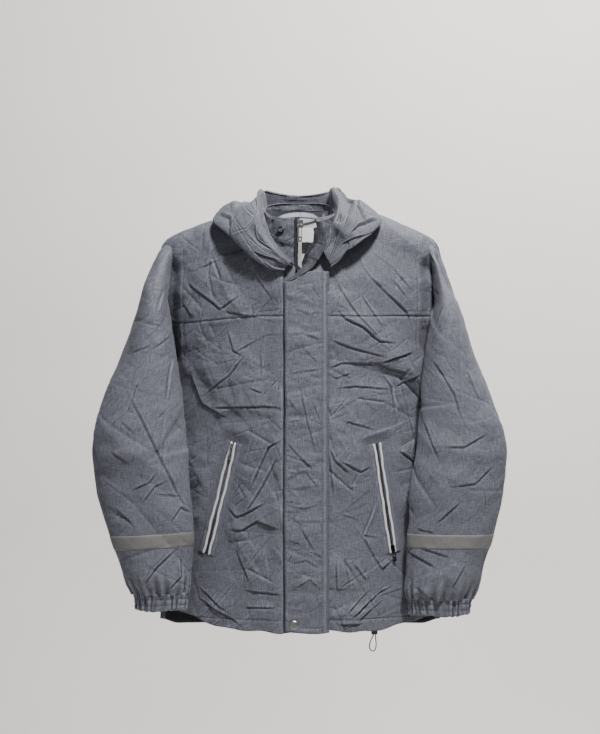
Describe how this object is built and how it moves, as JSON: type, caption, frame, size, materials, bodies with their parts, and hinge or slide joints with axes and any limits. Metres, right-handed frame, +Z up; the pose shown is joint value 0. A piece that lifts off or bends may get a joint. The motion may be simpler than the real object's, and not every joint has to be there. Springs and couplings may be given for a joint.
{
  "type": "hooded hardshell jacket",
  "caption": "Hooded waterproof shell jacket hung by its neck loop, with a storm flap over a front zip, zipped hand pockets, reflective sleeve bands and elastic cuffs.",
  "frame": {"origin": "middle of the hanger loop inside the back of the neck", "axes": "+Z up along the jacket from hem to neck, -Y out of the jacket's front, +X towards the wearer's left"},
  "size_m": [0.66, 0.1914, 0.7578],
  "materials": {
    "shell_fabric": "heathered grey-blue crinkled plain weave, matt water-repellent face",
    "lining_fabric": "pale grey brushed knit",
    "hem_fabric": "dark plain weave facing",
    "elastic_fabric": "shirred elastic covered with the shell cloth",
    "reflective_tape": "grey retroreflective tape, satin",
    "reflective_piping": "white retroreflective piping, satin",
    "zip_tape": "woven zip tape",
    "zip_coil": "moulded nylon coil",
    "slider_metal": "nickel-plated zinc, lightly worn",
    "dark_slider": "black lacquered zinc",
    "pull_tape": "pale woven pull tape",
    "snap_metal": "brushed nickel snap",
    "hook_and_loop": "hook and loop fastener",
    "label_fabric": "blank woven label",
    "cord_fabric": "black braided round cord",
    "black_plastic": "black moulded plastic"
  },
  "bodies": {
    "jacket_shell": {"back_lining": "lining_fabric", "back_panel": "shell_fabric", "back_yoke": "shell_fabric", "collar": "shell_fabric", "collar_snap_stud": "snap_metal", "flap_seam_strip": "shell_fabric", "hanger_loop": "hem_fabric", "hem_cord_guide": "black_plastic", "hem_cord_loop": "cord_fabric", "hem_drawcord": "cord_fabric", "hem_facing": "hem_fabric", "hem_snap_stud": "snap_metal", "hood_left_panel": "shell_fabric", "hood_right_panel": "shell_fabric", "left_front_lining": "lining_fabric", "left_front_panel": "shell_fabric", "left_front_yoke": "shell_fabric", "left_lapel": "shell_fabric", "left_pocket_bag": "lining_fabric", "left_pocket_coil": "zip_coil", "left_pocket_piping": "reflective_piping", "left_pocket_tape": "zip_tape", "left_upper_sleeve": "shell_fabric", "left_zip_coil": "zip_coil", "left_zip_tape": "zip_tape", "loop_patches": "hook_and_loop", "neck_facing": "lining_fabric", "neck_labels": "label_fabric", "right_front_lining": "lining_fabric", "right_front_panel": "shell_fabric", "right_front_yoke": "shell_fabric", "right_pocket_bag": "lining_fabric", "right_pocket_coil": "zip_coil", "right_pocket_piping": "reflective_piping", "right_pocket_tape": "zip_tape", "right_upper_sleeve": "shell_fabric", "right_zip_coil": "zip_coil", "right_zip_tape": "zip_tape", "zip_box_and_pin": "zip_coil", "zip_top_stop": "zip_coil"},
    "storm_flap": {"storm_flap": "shell_fabric", "hook_patches": "hook_and_loop", "hem_snap_cap": "snap_metal", "hem_snap_socket": "snap_metal"},
    "main_slider": {"main_slider": "slider_metal"},
    "main_pull": {"main_pull_tab": "slider_metal", "main_pull_tape": "pull_tape"},
    "right_pocket_slider": {"right_pocket_slider": "slider_metal"},
    "right_pocket_pull": {"right_pocket_pull_tab": "slider_metal"},
    "left_pocket_slider": {"left_pocket_slider": "dark_slider"},
    "left_pocket_pull": {"left_pocket_pull_tab": "dark_slider"},
    "right_forearm": {"right_lower_sleeve": "shell_fabric", "right_reflective_band": "reflective_tape", "right_cuff": "shell_fabric", "right_cuff_elastic": "elastic_fabric"},
    "left_forearm": {"left_lower_sleeve": "shell_fabric", "left_reflective_band": "reflective_tape", "left_cuff": "shell_fabric", "left_cuff_elastic": "elastic_fabric"},
    "hood": {"hood_centre_panel": "shell_fabric"}
  },
  "joints": [
    {"name": "storm_flap_fold", "type": "hinge", "parent": "jacket_shell", "child": "storm_flap", "pos_m": [0.0402, -0.1233, -0.39], "axis": [0, 0, 1], "range_deg": [0, 150]},
    {"name": "main_slider_run", "type": "slide", "parent": "jacket_shell", "child": "main_slider", "axis": [0, 0, -1], "range_m": [0, 0.6]},
    {"name": "main_pull_swing", "type": "hinge", "parent": "main_slider", "child": "main_pull", "pos_m": [0, -0.11555, -0.0179], "axis": [-1, 0, 0], "range_deg": [0, 150]},
    {"name": "right_pocket_slider_run", "type": "slide", "parent": "jacket_shell", "child": "right_pocket_slider", "axis": [-0.2384, 0.1155, -0.9643], "range_m": [0, 0.1727]},
    {"name": "right_pocket_pull_swing", "type": "hinge", "parent": "right_pocket_slider", "child": "right_pocket_pull", "pos_m": [-0.11003, -0.09544, -0.37536], "axis": [-0.8623, 0.4316, 0.2649], "range_deg": [0, 150]},
    {"name": "left_pocket_slider_run", "type": "slide", "parent": "jacket_shell", "child": "left_pocket_slider", "axis": [-0.1495, -0.0765, 0.9858], "range_m": [0, 0.1646]},
    {"name": "left_pocket_pull_swing", "type": "hinge", "parent": "left_pocket_slider", "child": "left_pocket_pull", "pos_m": [0.15093, -0.07576, -0.53977], "axis": [-0.8674, -0.4684, -0.1679], "range_deg": [0, 150]},
    {"name": "right_elbow_bend", "type": "hinge", "parent": "jacket_shell", "child": "right_forearm", "pos_m": [-0.248, -0.117, -0.392], "axis": [-1, 0, 0], "range_deg": [0, 80]},
    {"name": "left_elbow_bend", "type": "hinge", "parent": "jacket_shell", "child": "left_forearm", "pos_m": [0.248, -0.117, -0.392], "axis": [-1, 0, 0], "range_deg": [0, 80]},
    {"name": "hood_lift", "type": "hinge", "parent": "jacket_shell", "child": "hood", "pos_m": [0, 0.013, 0.047], "axis": [1, 0, 0], "range_deg": [0, 75]}
  ]
}
